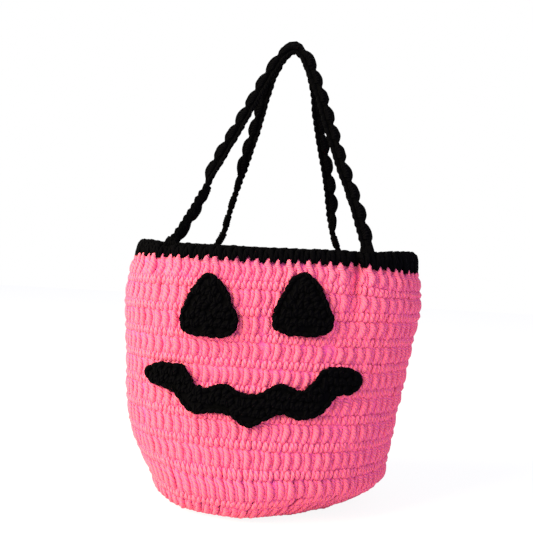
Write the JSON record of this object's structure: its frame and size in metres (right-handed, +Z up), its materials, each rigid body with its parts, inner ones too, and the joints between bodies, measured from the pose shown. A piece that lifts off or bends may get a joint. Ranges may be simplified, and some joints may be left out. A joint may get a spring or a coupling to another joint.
{
  "type": "pumpkin candy bag",
  "caption": "Crocheted pink bucket bag with a black rim band, a sewn-on jack-o'-lantern face and two black shell-edged carrying handles.",
  "frame": {"origin": "middle of the base's flat underside, on the starting ring", "axes": "+Z up from the base to the handles, -Y towards the face's side, +X to the right as the face is seen"},
  "size_m": [0.2288, 0.1738, 0.3586],
  "materials": {
    "pink_yarn": "soft matt cotton yarn, hot pink, crocheted in tall posts under a row of small loops",
    "black_yarn": "soft matt cotton yarn, black, crocheted"
  },
  "bodies": {
    "bag": {"starting_ring": "pink_yarn", "base_round_1": "pink_yarn", "base_round_2": "pink_yarn", "base_round_3": "pink_yarn", "base_round_4": "pink_yarn", "base_round_5": "pink_yarn", "wall_round_1": "pink_yarn", "wall_round_2": "pink_yarn", "wall_round_3": "pink_yarn", "wall_round_4": "pink_yarn", "wall_round_5": "pink_yarn", "wall_round_6": "pink_yarn", "wall_round_7": "pink_yarn", "wall_round_8": "pink_yarn", "wall_round_9": "pink_yarn", "rim_band": "black_yarn", "left_eye": "black_yarn", "left_eye_sewing_yarn": "black_yarn", "right_eye": "black_yarn", "right_eye_sewing_yarn": "black_yarn", "mouth": "black_yarn", "mouth_sewing_yarn": "black_yarn", "front_handle_left_foot": "black_yarn", "front_handle_left_foot_yarn": "black_yarn", "front_handle_right_foot": "black_yarn", "front_handle_right_foot_yarn": "black_yarn", "back_handle_left_foot": "black_yarn", "back_handle_left_foot_yarn": "black_yarn", "back_handle_right_foot": "black_yarn", "back_handle_right_foot_yarn": "black_yarn"},
    "front_handle": {"front_handle_cord": "black_yarn", "front_handle_shells": "black_yarn"},
    "back_handle": {"back_handle_cord": "black_yarn", "back_handle_shells": "black_yarn"}
  },
  "joints": [
    {"name": "front_handle_hinge", "type": "hinge", "parent": "bag", "child": "front_handle", "pos_m": [0.0045, -0.0611, 0.19479], "axis": [1, 0, 0], "range_deg": [0, 150]},
    {"name": "back_handle_hinge", "type": "hinge", "parent": "bag", "child": "back_handle", "pos_m": [0.0045, 0.06619, 0.19479], "axis": [-1, 0, 0], "range_deg": [0, 150]}
  ]
}
